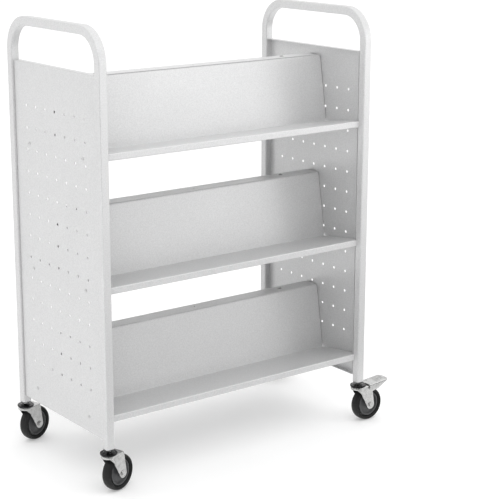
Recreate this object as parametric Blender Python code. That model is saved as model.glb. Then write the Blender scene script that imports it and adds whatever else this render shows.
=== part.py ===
"""Double-sided book cart: two bent-tube end frames with perforated panels, three pairs of sloped
shelves back to back, and four swivel casters, two of them with a brake pedal.

The cart is long in X, its front faces -Y, and Z is up. Dimensions are in metres.
"""

import math

import bmesh
import bpy
from mathutils import Matrix, Vector

MM = 0.001

# --- overall size -------------------------------------------------------------------------------
LENGTH = 915 * MM               # over the end frames
DEPTH = 480 * MM                # over the legs
HEIGHT = 1250 * MM              # floor to the top of the handles
GAP = 0.3 * MM                  # clearance between pieces that touch
SHEET = 1.2 * MM                # sheet steel

# --- end frames ---------------------------------------------------------------------------------
TUBE = 25 * MM                  # square tube, outside
TUBE_WALL = 1.5 * MM
TUBE_EDGE = 3.5 * MM            # outside corner radius of the tube
BEND_RADIUS = 82.5 * MM         # handle bend, at the middle of the tube
LEG_BOTTOM = 128 * MM
BEND_STEPS = 6

# --- end panels ---------------------------------------------------------------------------------
PANEL_TOP = 1126 * MM
PANEL_BOTTOM = 148 * MM
PANEL_RECESS = 6.8 * MM         # from the outside of the tube in to the sheet
PANEL_FLANGE = 18 * MM          # depth of the folded edge
PANEL_EDGE = 2 * MM             # bend radius of the folded edge
HOLE_RADIUS = 3.6 * MM          # to the corners of a square hole of the real hole's area
HOLE_SIDES = 4
HOLE_COLUMNS = 7
HOLE_ROWS = 13
HOLE_PITCH_Y = 51 * MM
HOLE_PITCH_Z = 61.25 * MM
HOLE_TOP_ROW = 1008 * MM

# --- shelves ------------------------------------------------------------------------------------
SHELF_LEVELS = {"bottom": 193.5 * MM, "middle": 548.5 * MM, "top": 903.5 * MM}
LIP_Y = 224 * MM                # front face of the lip, from the middle of the cart
LIP_HEIGHT = 19 * MM
LIP_RETURN = 8 * MM
FOLD_Y = 57.5 * MM              # fold between the tray and the sloped back
TRAY_TILT = math.radians(7.5)
BACK_HEIGHT = 194 * MM
TOP_STRIP = 50 * MM             # width of the flat strip along the top of the backs
STRIP_OVERLAP = 47 * MM         # how far each top flange reaches across it
FOLD_RADIUS = 2.2 * MM
FOLD_STEPS = 3
NOTCH_Y = 212 * MM              # the tray is narrower in front of this, to pass between the legs
END_TAB_FRONT = 205 * MM
END_TAB_BACK = 66 * MM
END_TAB_DROP = 20 * MM
STRIP_HOLE_RADIUS = 3.5 * MM

# --- shelf screws -------------------------------------------------------------------------------
SCREW_Y = 140 * MM
SCREW_DROP = 11 * MM            # below the tray
SCREW_RADIUS = 2.2 * MM
SCREW_LENGTH = 9 * MM
SCREW_HEAD_RADIUS = 4.6 * MM
SCREW_HEAD = 2.4 * MM
SCREW_SLACK = 0.5 * MM

# --- casters: x' runs from the stem towards the wheel, y' along the axle ---------------------------
WHEEL_RADIUS = 50.8 * MM
TYRE_WIDTH = 30 * MM
TYRE_INNER = 38.8 * MM          # clear of the rim at the flats of both rings
HUB_RADIUS = 38 * MM
HUB_LENGTH = 35 * MM
TRAIL = 35 * MM                 # axle behind the stem
CHEEK_INNER = 18 * MM           # half of the space between the fork's cheeks
CHEEK_SHEET = 2.5 * MM
CHEEK_NOSE = 14 * MM            # radius of the cheek round the axle
CROWN_TOP = 112 * MM
CROWN_SHEET = 3 * MM
CROWN_RADIUS = 23 * MM
CROWN_DISC = 4 * MM
STEM_RADIUS = 5 * MM
STEM_HEAD = 8 * MM
CAP_RADIUS = 24 * MM
CAP_TOP = 119.3 * MM
HEX_TOP = 125.4 * MM
HEX_RADIUS = 9.5 * MM
PLUG_FLANGE = 2 * MM
PLUG_LENGTH = 30 * MM
AXLE_RADIUS = 4 * MM
AXLE_HEX = 7.2 * MM
AXLE_HEAD = 5 * MM
ROUND_STEPS = 12                # sides of the small round pieces
CROWN_STEPS = 20
WHEEL_STEPS = 24
HUB_STEPS = 16
SCREW_STEPS = 8

# --- brake pedal ----------------------------------------------------------------------------------
PIVOT_X = 30 * MM
PIVOT_Z = 105.8 * MM
PIN_RADIUS = 2.2 * MM
PIN_HEAD = 3.6 * MM
PEDAL_LENGTH = 105 * MM         # stem to the tip of the pedal
PEDAL_START = 28.5 * MM
PEDAL_LOW = 116 * MM            # top of the plate at its root
PEDAL_HIGH = 122 * MM           # top of the plate at its tip
PEDAL_SHEET = 1.8 * MM
PEDAL_EYE = 5 * MM
SKIRT_FRONT = (40 * MM, 94 * MM)    # corners along the lower edge of the side skirts: x', z
SKIRT_MIDDLE = (62 * MM, 98 * MM)
SKIRT_REAR = (82 * MM, 109 * MM)
SHOE_X = 76 * MM
SHOE_BOTTOM = 95 * MM
SHOE_WIDTH = 22 * MM
SHOE_SHEET = 3 * MM

LEG_X = LENGTH / 2 - TUBE / 2
LEG_Y = DEPTH / 2 - TUBE / 2
PANEL_FACE = LENGTH / 2 - PANEL_RECESS       # outer face of an end panel's sheet
SHELF_END = PANEL_FACE - SHEET - GAP         # the wide part of a shelf ends here
LIP_END = LENGTH / 2 - TUBE - GAP            # the lip ends here, between the legs

# name: (side in X, side in Y, swivel angle at rest, has a brake)
CASTERS = {
    "front_left": (-1, -1, math.radians(18), False),
    "rear_left": (-1, 1, math.radians(18), False),
    "front_right": (1, -1, 0.0, True),
    "rear_right": (1, 1, 0.0, True),
}


# --- materials ------------------------------------------------------------------------------------
def material(name, colour, roughness, metallic):
    """A Principled material with one colour."""
    made = bpy.data.materials.new(name)
    made.use_nodes = True
    shader = made.node_tree.nodes["Principled BSDF"]
    shader.inputs["Base Color"].default_value = (*colour, 1.0)
    shader.inputs["Roughness"].default_value = roughness
    shader.inputs["Metallic"].default_value = metallic
    return made


def make_materials():
    return {
        "paint": material("powder_coat", (0.78, 0.78, 0.77), 0.45, 0.0),
        "zinc": material("zinc_plate", (0.72, 0.72, 0.70), 0.25, 1.0),
        "dark_steel": material("dark_steel", (0.05, 0.05, 0.05), 0.35, 1.0),
        "rubber": material("black_rubber", (0.02, 0.02, 0.02), 0.6, 0.0),
        "hub": material("grey_hub", (0.09, 0.09, 0.09), 0.5, 0.0),
        "plastic": material("black_plastic", (0.03, 0.03, 0.03), 0.5, 0.0),
    }


# --- mesh helpers ---------------------------------------------------------------------------------
def mesh_from(bm, name):
    """Turn a closed bmesh into a mesh with its faces pointing out."""
    bmesh.ops.recalc_face_normals(bm, faces=bm.faces)
    mesh = bpy.data.meshes.new(name)
    bm.to_mesh(mesh)
    bm.free()
    return mesh


def loft(rings, closed=False):
    """Join rings of points into a skin. A closed loft is a hoop; an open one gets end caps."""
    bm = bmesh.new()
    loops = [[bm.verts.new(point) for point in ring] for ring in rings]
    pairs = list(zip(loops, loops[1:]))
    if closed:
        pairs.append((loops[-1], loops[0]))
    for first, second in pairs:
        for i in range(len(first)):
            j = (i + 1) % len(first)
            bm.faces.new((first[i], first[j], second[j], second[i]))
    if not closed:
        bm.faces.new(loops[0])
        bm.faces.new(loops[-1])
    return bm


def turned(profile, steps, axis="Z", bored=False, hexagon=()):
    """Turn (radius, height) points round an axis, with a flat end at each end of the profile.

    A bored profile closes on itself round a hole instead. The points whose indices are in hexagon
    get six flats.
    """
    rings = []
    for index, (radius, height) in enumerate(profile):
        ring = []
        for k in range(steps):
            angle = 2 * math.pi * k / steps
            flat = index in hexagon and k % 2 == 1
            reach = radius * (math.cos(math.pi / 6) if flat else 1.0)
            ring.append(Vector((reach * math.cos(angle), reach * math.sin(angle), height)))
        rings.append(ring)
    bm = loft(rings, closed=bored)
    if axis == "Y":
        bm.transform(Matrix.Rotation(math.radians(90), 4, "X"))
    if axis == "X":
        bm.transform(Matrix.Rotation(math.radians(90), 4, "Y"))
    return bm


def rod(radius, low, high, steps=ROUND_STEPS, axis="Z"):
    """A round bar between two heights."""
    return turned([(radius, low), (radius, high)], steps, axis=axis)


def prism(outline, low, high, axis="Y"):
    """A flat outline of (x, z) or (y, z) points, made solid between low and high along the axis."""
    if axis == "Y":
        rings = [[Vector((a, level, b)) for a, b in outline] for level in (low, high)]
    else:
        rings = [[Vector((level, a, b)) for a, b in outline] for level in (low, high)]
    return loft(rings)


def block(low, high):
    """A box between two corners."""
    (x0, y0, z0), (x1, y1, z1) = low, high
    return prism([(x0, z0), (x1, z0), (x1, z1), (x0, z1)], y0, y1)


def arc(centre, radius, start, end, steps):
    """Points on an arc in a plane, angles in degrees."""
    points = []
    for k in range(steps + 1):
        angle = math.radians(start + (end - start) * k / steps)
        points.append((centre[0] + radius * math.cos(angle), centre[1] + radius * math.sin(angle)))
    return points


def carve(base, name, cutters=(), joined=()):
    """Join solids to a base solid and then cut others out of it. Returns the finished mesh."""
    body = bpy.data.objects.new(name, mesh_from(base, name))
    bpy.context.collection.objects.link(body)
    tools = []
    steps = [("UNION", tool) for tool in joined] + [("DIFFERENCE", tool) for tool in cutters]
    for operation, tool_bm in steps:
        tool = bpy.data.objects.new(name + "_tool", mesh_from(tool_bm, name + "_tool"))
        bpy.context.collection.objects.link(tool)
        tools.append(tool)
        modifier = body.modifiers.new(operation.lower(), "BOOLEAN")
        modifier.operation = operation
        modifier.solver = "EXACT"
        modifier.object = tool
    bpy.context.view_layer.update()
    finished = body.evaluated_get(bpy.context.evaluated_depsgraph_get())
    mesh = bpy.data.meshes.new_from_object(finished)
    mesh.name = name
    for scrap in [body, *tools]:
        bpy.data.objects.remove(scrap)
    return mesh


def place(name, mesh, look, parent=None, location=(0, 0, 0), rotation=0.0, smooth=30):
    """Add a named object that shows a mesh, rounded shading up to the given angle."""
    if not mesh.materials:
        mesh.materials.append(look)
        mesh.shade_smooth()
        mesh.set_sharp_from_angle(angle=math.radians(smooth))
    piece = bpy.data.objects.new(name, mesh)
    bpy.context.collection.objects.link(piece)
    piece.location = location
    piece.rotation_euler = (0, 0, rotation)
    piece.parent = parent
    return piece


def pivot(name, location, rotation=0.0, parent=None):
    """An empty on a joint's axis."""
    made = bpy.data.objects.new(name, None)
    bpy.context.collection.objects.link(made)
    made.empty_display_size = 0.03
    made.location = location
    made.rotation_euler = (0, 0, rotation)
    made.parent = parent
    return made


# --- end frames -----------------------------------------------------------------------------------
def tube_outline(half, corner):
    """A square with rounded corners, as (across, along) offsets."""
    points = []
    for quarter in range(4):
        turn = 90 * quarter
        across = math.copysign(half - corner, math.cos(math.radians(turn + 45)))
        along = math.copysign(half - corner, math.sin(math.radians(turn + 45)))
        points += arc((across, along), corner, turn, turn + 90, 2)
    return points


def handle_path():
    """Stations (y, z, angle) from one leg's foot over the handle to the other's."""
    shoulder = HEIGHT - TUBE / 2 - BEND_RADIUS
    side = LEG_Y - BEND_RADIUS
    stations = [(-LEG_Y, LEG_BOTTOM, 180.0)]
    for k in range(BEND_STEPS + 1):
        angle = 180 - 90 * k / BEND_STEPS
        turn = math.radians(angle)
        y = -side + BEND_RADIUS * math.cos(turn)
        stations.append((y, shoulder + BEND_RADIUS * math.sin(turn), angle))
    mirrored = [(-y, z, 180 - angle) for y, z, angle in reversed(stations)]
    return stations + mirrored


def end_tube_mesh():
    """One square tube bent into a handle and two legs, open at both feet."""
    outer = tube_outline(TUBE / 2, TUBE_EDGE)
    inner = tube_outline(TUBE / 2 - TUBE_WALL, TUBE_EDGE - TUBE_WALL)
    stations = handle_path()

    def ring(outline, station):
        y, z, angle = station
        out = Vector((0, math.cos(math.radians(angle)), math.sin(math.radians(angle))))
        return [Vector((across, y, z)) + out * along for across, along in outline]

    rings = [ring(outer, station) for station in stations]
    rings += [ring(inner, station) for station in reversed(stations)]
    return mesh_from(loft(rings, closed=True), "end_tube")


# --- end panels -----------------------------------------------------------------------------------
def tray_height(level, y):
    """Height of a tray's fold line surface at a distance y from the middle of the cart."""
    return level + (y - FOLD_Y) * math.tan(TRAY_TILT)


def screw_places():
    """(name, side in Y, height) of the screws that hold the shelves at each end."""
    places = []
    for level_name, level in SHELF_LEVELS.items():
        for side_name, side in (("front", -1), ("rear", 1)):
            places.append((f"{level_name}_{side_name}", side, tray_height(level, SCREW_Y) - SCREW_DROP))
    return places


def punch(holes, y, z, radius, sides):
    """Add a cutter for one hole through an end panel's sheet to the others."""
    pin = rod(radius, -SHEET, 2 * SHEET, sides, axis="X")
    pin.transform(Matrix.Translation((0, y, z)))
    bmesh.ops.recalc_face_normals(pin, faces=pin.faces)
    scrap = bpy.data.meshes.new("punch")
    pin.to_mesh(scrap)
    pin.free()
    holes.from_mesh(scrap)
    bpy.data.meshes.remove(scrap)


def end_panel_mesh():
    """A perforated sheet with its four edges folded inwards; its outer face is at x = 0."""
    half = LEG_Y - TUBE / 2 - GAP
    outline = [(0, PANEL_BOTTOM), (PANEL_FLANGE, PANEL_BOTTOM), (PANEL_FLANGE, PANEL_TOP), (0, PANEL_TOP)]
    base = prism(outline, -half, half)
    rim = [edge for edge in base.edges if all(vert.co.x < SHEET for vert in edge.verts)]
    bmesh.ops.bevel(base, geom=rim, offset=PANEL_EDGE, segments=2, affect="EDGES", profile=0.5)
    hollow = block(
        (SHEET, -half + SHEET, PANEL_BOTTOM + SHEET),
        (2 * PANEL_FLANGE, half - SHEET, PANEL_TOP - SHEET),
    )
    holes = bmesh.new()
    for row in range(HOLE_ROWS):
        for column in range(HOLE_COLUMNS):
            y = (column - (HOLE_COLUMNS - 1) / 2) * HOLE_PITCH_Y
            punch(holes, y, HOLE_TOP_ROW - row * HOLE_PITCH_Z, HOLE_RADIUS, HOLE_SIDES)
    for _, side, height in screw_places():
        punch(holes, side * SCREW_Y, height, SCREW_RADIUS + SCREW_SLACK, SCREW_STEPS)
    return carve(base, "end_panel", cutters=[hollow, holes])


# --- shelves --------------------------------------------------------------------------------------
def rounded_fold(before, corner, after):
    """Points of a fold of FOLD_RADIUS that replaces the sharp corner between two straight runs."""
    first = (Vector(before) - Vector(corner)).normalized()
    last = (Vector(after) - Vector(corner)).normalized()
    half = first.angle(last) / 2
    reach = FOLD_RADIUS / math.tan(half)
    centre = Vector(corner) + (first + last).normalized() * (FOLD_RADIUS / math.sin(half))
    start = Vector(corner) + first * reach - centre
    end = Vector(corner) + last * reach - centre
    sweep = start.angle_signed(end)
    return [centre + Matrix.Rotation(-sweep * k / FOLD_STEPS, 2) @ start for k in range(FOLD_STEPS + 1)]


def shelf_profile(raise_top):
    """(distance from the middle, height) of the folded sheet, from the lip's return to the top flange."""
    lip_top = tray_height(0, LIP_Y)
    top = BACK_HEIGHT + raise_top
    corners = [
        (LIP_Y - LIP_RETURN, lip_top - LIP_HEIGHT),
        (LIP_Y, lip_top - LIP_HEIGHT),
        (LIP_Y, lip_top),
        (FOLD_Y, 0.0),
        (TOP_STRIP / 2, top),
        (TOP_STRIP / 2 - STRIP_OVERLAP, top),
    ]
    points = [Vector(corners[0])]
    for before, corner, after in zip(corners, corners[1:], corners[2:]):
        points += rounded_fold(before, corner, after)
        if corner == corners[2]:
            points.append(Vector((NOTCH_Y, tray_height(0, NOTCH_Y))))
            points.append(Vector((END_TAB_FRONT, tray_height(0, END_TAB_FRONT))))
            points.append(Vector((END_TAB_BACK, tray_height(0, END_TAB_BACK))))
    points.append(Vector(corners[-1]))
    return points


def shelf_mesh(side, raise_top):
    """One shelf of folded sheet, with its fold line at height 0. Side is -1 at the front, 1 at the rear."""
    bm = bmesh.new()
    points = shelf_profile(raise_top)
    columns = (-SHELF_END, -LIP_END, LIP_END, SHELF_END)
    rows = [[bm.verts.new((x, side * y, z)) for x in columns] for y, z in points]
    for lower, upper, (y, _) in zip(rows, rows[1:], points):
        spans = (1,) if y > NOTCH_Y + GAP else (0, 1, 2)
        for k in spans:
            bm.faces.new((lower[k], lower[k + 1], upper[k + 1], upper[k]))
    tab_rows = [
        row for row, (y, _) in zip(rows, points)
        if min(abs(y - END_TAB_FRONT), abs(y - END_TAB_BACK)) < GAP
    ]
    for column in (0, 3):
        top = [row[column] for row in tab_rows]
        drop = [bm.verts.new(vert.co - Vector((0, 0, END_TAB_DROP))) for vert in top]
        bm.faces.new((top[0], top[1], drop[1], drop[0]))
    loose = [vert for vert in bm.verts if not vert.link_faces]
    bmesh.ops.delete(bm, geom=loose, context="VERTS")
    bmesh.ops.recalc_face_normals(bm, faces=bm.faces)
    tray = max(bm.faces, key=lambda face: abs(face.normal.z) * face.calc_area())
    if tray.normal.z > 0:
        bmesh.ops.reverse_faces(bm, faces=bm.faces)
    sheet = bpy.data.meshes.new("shelf_sheet")
    bm.to_mesh(sheet)
    bm.free()
    solid = thickened(sheet)
    cutters = [screw_clearance(end, side) for end in (-1, 1)]
    strip_hole = rod(STRIP_HOLE_RADIUS, BACK_HEIGHT - TUBE, BACK_HEIGHT + TUBE, SCREW_STEPS)
    return carve(solid, "shelf", cutters=[*cutters, strip_hole])


def reopened(mesh):
    """A finished mesh, taken up again as a base for more work."""
    bm = bmesh.new()
    bm.from_mesh(mesh)
    bpy.data.meshes.remove(mesh)
    return bm


def thickened(sheet):
    """Give an open sheet its thickness, on its outer side only so that its size stays the same."""
    scrap = bpy.data.objects.new("sheet", sheet)
    bpy.context.collection.objects.link(scrap)
    modifier = scrap.modifiers.new("thickness", "SOLIDIFY")
    modifier.thickness = SHEET
    modifier.offset = 1
    modifier.use_even_offset = True
    modifier.use_quality_normals = True
    bpy.context.view_layer.update()
    mesh = bpy.data.meshes.new_from_object(scrap.evaluated_get(bpy.context.evaluated_depsgraph_get()))
    bpy.data.objects.remove(scrap)
    return reopened(mesh)


def screw_clearance(end, side):
    """A cutter for the screw's hole in a shelf's end tab."""
    radius = SCREW_RADIUS + SCREW_SLACK
    height = tray_height(0, SCREW_Y) - SCREW_DROP
    cutter = rod(radius, -TUBE, TUBE, SCREW_STEPS, axis="X")
    cutter.transform(Matrix.Translation((end * SHELF_END, side * SCREW_Y, height)))
    return cutter


def screw_mesh():
    """A pan-head screw along +X, with the underside of its head at x = 0."""
    profile = [
        (SCREW_HEAD_RADIUS * 0.6, -SCREW_HEAD),
        (SCREW_HEAD_RADIUS, -SCREW_HEAD * 0.4),
        (SCREW_HEAD_RADIUS, 0),
        (SCREW_RADIUS, 0),
        (SCREW_RADIUS, SCREW_LENGTH),
    ]
    return mesh_from(turned(profile, SCREW_STEPS, axis="X"), "shelf_screw")


# --- casters --------------------------------------------------------------------------------------
def plug_mesh():
    """A square plug with a flange, bored for the stem, in the foot of a leg."""
    flange_top = LEG_BOTTOM - GAP
    levels = [
        (TUBE / 2 - GAP, flange_top - PLUG_FLANGE),
        (TUBE / 2 - GAP, flange_top),
        (TUBE / 2 - TUBE_WALL - GAP, flange_top),
        (TUBE / 2 - TUBE_WALL - GAP, flange_top + PLUG_LENGTH),
    ]
    corner = TUBE_EDGE - TUBE_WALL
    rings = [[Vector((a, b, z)) for a, b in tube_outline(half, corner)] for half, z in levels]
    radius = STEM_RADIUS + GAP
    return carve(loft(rings), "leg_plug", cutters=[rod(radius, 0, 2 * LEG_BOTTOM)])


def stem_mesh():
    """The stem: a head under the fork, a shank through it, a hexagon, and a thread up into the leg."""
    head_top = CROWN_TOP - CROWN_SHEET - 2 * GAP - (CROWN_DISC - CROWN_SHEET) / 2
    profile = [
        (STEM_HEAD, head_top - 4 * MM),
        (STEM_HEAD, head_top),
        (STEM_RADIUS, head_top),
        (STEM_RADIUS, CAP_TOP + GAP),
        (HEX_RADIUS, CAP_TOP + GAP),
        (HEX_RADIUS, HEX_TOP),
        (STEM_RADIUS, HEX_TOP),
        (STEM_RADIUS, LEG_BOTTOM + PLUG_LENGTH - 6 * MM),
    ]
    return mesh_from(turned(profile, ROUND_STEPS, hexagon=(4, 5)), "caster_stem")


def cap_mesh():
    """The upper bearing cap, a dished ring round the stem."""
    bottom = CROWN_TOP + (CROWN_DISC - CROWN_SHEET) / 2 + GAP
    bore = STEM_RADIUS + GAP
    profile = [
        (bore, bottom),
        (CAP_RADIUS - 3 * MM, bottom),
        (CAP_RADIUS, bottom + 1.5 * MM),
        (CAP_RADIUS, bottom + 4 * MM),
        (CAP_RADIUS - 5 * MM, CAP_TOP),
        (bore, CAP_TOP),
    ]
    return mesh_from(turned(profile, ROUND_STEPS, bored=True), "bearing_cap")


def cheek_outline():
    """The fork seen along the axle, from the crown down round the axle and back up."""
    nose = arc((TRAIL, WHEEL_RADIUS), CHEEK_NOSE, -155, 0, 6)
    return [
        (-17 * MM, CROWN_TOP),
        (-17 * MM, CROWN_TOP - 6 * MM),
        (1 * MM, 88 * MM),
        (13 * MM, 66 * MM),
        *nose,
        (45 * MM, 84 * MM),
        (40 * MM, CROWN_TOP),
    ]


def fork_mesh(braked):
    """The fork: a round crown over two cheeks, with its holes."""
    outer = CHEEK_INNER + CHEEK_SHEET
    base = prism(cheek_outline(), -outer, outer)
    space = block((-TUBE * 2, -CHEEK_INNER, 0), (TUBE * 4, CHEEK_INNER, CROWN_TOP - CROWN_SHEET))
    rise = (CROWN_DISC - CROWN_SHEET) / 2
    disc = rod(CROWN_RADIUS, CROWN_TOP - CROWN_SHEET - rise, CROWN_TOP + rise, CROWN_STEPS)
    cheeks = reopened(carve(base, "fork_cheeks", cutters=[space]))
    holes = [
        rod(STEM_RADIUS + 1 * MM, 0, 2 * CROWN_TOP),
        cross_hole(TRAIL, WHEEL_RADIUS, AXLE_RADIUS + GAP),
    ]
    if braked:
        holes.append(cross_hole(PIVOT_X, PIVOT_Z, PIN_RADIUS + GAP))
    return carve(cheeks, "caster_fork", joined=[disc], cutters=holes)


def cross_hole(x, z, radius):
    """A cutter along the axle's direction."""
    cutter = rod(radius, -2 * TUBE, 2 * TUBE, axis="Y")
    cutter.transform(Matrix.Translation((x, 0, z)))
    return cutter


def axle_mesh():
    """The axle bolt along y', its hexagon head on the -y' side."""
    face = CHEEK_INNER + CHEEK_SHEET + GAP
    profile = [
        (AXLE_HEX, face + AXLE_HEAD),
        (AXLE_HEX, face),
        (AXLE_RADIUS, face),
        (AXLE_RADIUS, -face - AXLE_HEAD),
    ]
    return mesh_from(turned(profile, ROUND_STEPS, axis="Y", hexagon=(0, 1)), "axle_bolt")


def nut_mesh():
    """The nut on the axle bolt, on the +y' side."""
    face = CHEEK_INNER + CHEEK_SHEET + GAP
    bore = AXLE_RADIUS + GAP
    height = AXLE_HEAD - 1 * MM
    profile = [(bore, -face), (AXLE_HEX, -face), (AXLE_HEX, -face - height), (bore, -face - height)]
    return mesh_from(turned(profile, ROUND_STEPS, axis="Y", bored=True, hexagon=(1, 2)), "axle_nut")


def hub_mesh():
    """The wheel's hub: a boss on the axle, a thin web and a rim under the tyre."""
    bore = AXLE_RADIUS + GAP
    side = [(bore, HUB_LENGTH / 2), (9 * MM, HUB_LENGTH / 2), (11 * MM, 9 * MM), (30 * MM, 6 * MM),
            (33 * MM, 11 * MM), (HUB_RADIUS, 11 * MM)]
    profile = side + [(radius, -height) for radius, height in reversed(side)]
    return mesh_from(turned(profile, HUB_STEPS, axis="Y", bored=True), "wheel_hub")


def tyre_mesh():
    """The tyre: a rubber ring with round shoulders."""
    half = TYRE_WIDTH / 2
    side = [(TYRE_INNER, 11 * MM), (40 * MM, half), (46 * MM, half), (WHEEL_RADIUS - 1 * MM, half - 6 * MM),
            (WHEEL_RADIUS, half - 11 * MM)]
    profile = side + [(radius, -height) for radius, height in reversed(side)]
    return mesh_from(turned(profile, WHEEL_STEPS, axis="Y", bored=True), "tyre")


# --- brakes ---------------------------------------------------------------------------------------
def pedal_mesh():
    """A pressed pedal: a tread plate, two side skirts with the pivot's eyes, and a shoe over the tyre."""
    inner = CHEEK_INNER + CHEEK_SHEET + 2 * GAP
    outer = inner + PEDAL_SHEET
    eye = arc((PIVOT_X, PIVOT_Z), PEDAL_EYE, 180, 270, 4)
    skirt = [
        (PEDAL_START, PEDAL_LOW),
        *eye,
        SKIRT_FRONT,
        SKIRT_MIDDLE,
        SKIRT_REAR,
        (PEDAL_LENGTH, PEDAL_HIGH - 3 * MM),
        (PEDAL_LENGTH, PEDAL_HIGH),
    ]
    base = prism(skirt, -outer, outer)
    under = [
        (0, PEDAL_LOW - PEDAL_SHEET - 3 * MM),
        (0, 0),
        (2 * PEDAL_LENGTH, 0),
        (2 * PEDAL_LENGTH, PEDAL_HIGH + (PEDAL_HIGH - PEDAL_LOW) - PEDAL_SHEET),
        (PEDAL_START, PEDAL_LOW - PEDAL_SHEET),
    ]
    shell = reopened(carve(base, "pedal_shell", cutters=[prism(under, -inner, inner)]))
    half = SHOE_WIDTH / 2
    shoe = block((SHOE_X, -half, SHOE_BOTTOM), (SHOE_X + SHOE_SHEET, half, PEDAL_HIGH - SHOE_SHEET))
    pin_hole = cross_hole(PIVOT_X, PIVOT_Z, PIN_RADIUS + GAP)
    return carve(shell, "brake_pedal", joined=[shoe], cutters=[pin_hole])


def pin_mesh():
    """The pedal's pivot pin, with a head at each end."""
    reach = CHEEK_INNER + CHEEK_SHEET + 3 * GAP + PEDAL_SHEET
    head = 1.2 * MM
    side = [(PIN_RADIUS, reach), (PIN_HEAD, reach), (PIN_HEAD, reach + head)]
    profile = [(radius, -height) for radius, height in reversed(side)] + side
    return mesh_from(turned(profile, ROUND_STEPS, axis="Y"), "pedal_pin")


# --- assembly -------------------------------------------------------------------------------------
def build_frame(looks):
    tube = end_tube_mesh()
    panel = end_panel_mesh()
    for name, side in (("left", -1), ("right", 1)):
        turn = 0.0 if side < 0 else math.pi
        place(f"end_tube_{name}", tube, looks["paint"], location=(side * LEG_X, 0, 0))
        place(f"end_panel_{name}", panel, looks["paint"], location=(side * PANEL_FACE, 0, 0), rotation=turn)


def build_shelves(looks):
    front = shelf_mesh(-1, 0.0)
    rear = shelf_mesh(1, SHEET + GAP)
    screw = screw_mesh()
    for level_name, level in SHELF_LEVELS.items():
        place(f"{level_name}_shelf_front", front, looks["paint"], location=(0, 0, level))
        place(f"{level_name}_shelf_rear", rear, looks["paint"], location=(0, 0, level))
    for name, side, height in screw_places():
        for end_name, end in (("left", -1), ("right", 1)):
            turn = 0.0 if end < 0 else math.pi
            spot = (end * (PANEL_FACE + GAP), side * SCREW_Y, height)
            place(f"shelf_screw_{name}_{end_name}", screw, looks["paint"], location=spot, rotation=turn)


def build_casters(looks):
    plug, stem, cap = plug_mesh(), stem_mesh(), cap_mesh()
    forks = {False: fork_mesh(False), True: fork_mesh(True)}
    axle, nut, hub, tyre = axle_mesh(), nut_mesh(), hub_mesh(), tyre_mesh()
    pedal, pin = pedal_mesh(), pin_mesh()
    for name, (end, side, angle, braked) in CASTERS.items():
        foot = (end * LEG_X, side * LEG_Y, 0)
        place(f"{name}_leg_plug", plug, looks["plastic"], location=foot)
        place(f"{name}_stem", stem, looks["zinc"], location=foot)
        place(f"{name}_bearing_cap", cap, looks["dark_steel"], location=foot)
        swivel = pivot(f"{name}_swivel", foot, rotation=angle)
        place(f"{name}_fork", forks[braked], looks["zinc"], parent=swivel)
        wheel = pivot(f"{name}_wheel", (TRAIL, 0, WHEEL_RADIUS), parent=swivel)
        place(f"{name}_axle_bolt", axle, looks["zinc"], parent=wheel)
        place(f"{name}_axle_nut", nut, looks["zinc"], parent=wheel)
        place(f"{name}_hub", hub, looks["hub"], parent=wheel)
        place(f"{name}_tyre", tyre, looks["rubber"], parent=wheel)
        if braked:
            place(f"{name}_brake_pedal", pedal, looks["zinc"], parent=swivel)
            place(f"{name}_pedal_pin", pin, looks["zinc"], parent=swivel, location=(PIVOT_X, 0, PIVOT_Z))


def recentre():
    """Move the cart so that the middle of its footprint is at the origin."""
    bpy.context.view_layer.update()
    solids = [piece for piece in bpy.data.objects if piece.type == "MESH"]
    corners = [piece.matrix_world @ vert.co for piece in solids for vert in piece.data.vertices]
    shift = Vector((0, 0, 0))
    for axis in (0, 1):
        values = [corner[axis] for corner in corners]
        shift[axis] = -(min(values) + max(values)) / 2
    for piece in bpy.data.objects:
        if piece.parent is None:
            piece.location += shift
    bpy.context.view_layer.update()


def main():
    for old in list(bpy.data.objects):
        bpy.data.objects.remove(old)
    looks = make_materials()
    build_frame(looks)
    build_shelves(looks)
    build_casters(looks)
    recentre()


main()
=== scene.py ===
"""Looks of a double-sided book cart: fine steel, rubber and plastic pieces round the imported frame.

Everything is in metres in the frame's own axes: the cart is long in X, its front faces -Y and Z is up.
"""

import math

import bmesh
import bpy
from mathutils import Matrix, Vector


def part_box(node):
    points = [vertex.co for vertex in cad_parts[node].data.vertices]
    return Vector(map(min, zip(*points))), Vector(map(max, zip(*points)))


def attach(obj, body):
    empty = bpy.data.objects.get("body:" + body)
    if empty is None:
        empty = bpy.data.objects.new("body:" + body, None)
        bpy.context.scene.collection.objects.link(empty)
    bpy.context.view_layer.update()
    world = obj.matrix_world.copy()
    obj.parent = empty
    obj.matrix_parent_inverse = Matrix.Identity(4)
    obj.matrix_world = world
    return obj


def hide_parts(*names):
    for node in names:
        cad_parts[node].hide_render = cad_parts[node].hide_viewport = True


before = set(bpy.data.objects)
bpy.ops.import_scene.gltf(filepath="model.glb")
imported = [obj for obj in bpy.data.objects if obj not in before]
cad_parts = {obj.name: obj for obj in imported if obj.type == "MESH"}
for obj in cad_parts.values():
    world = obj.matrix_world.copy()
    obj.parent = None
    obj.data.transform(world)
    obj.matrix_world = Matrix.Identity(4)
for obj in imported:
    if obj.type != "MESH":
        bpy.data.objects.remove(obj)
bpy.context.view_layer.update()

MM = 0.001

# --- end frames ---------------------------------
TUBE_EDGE = 3.8 * MM            # outside corner radius of the square tube
TUBE_WALL = 1.5 * MM
TUBE_EDGE_STEPS = 5
BEND_RADIUS = 82.5 * MM         # handle bend, at the middle of the tube
BEND_STEPS = 24

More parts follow.
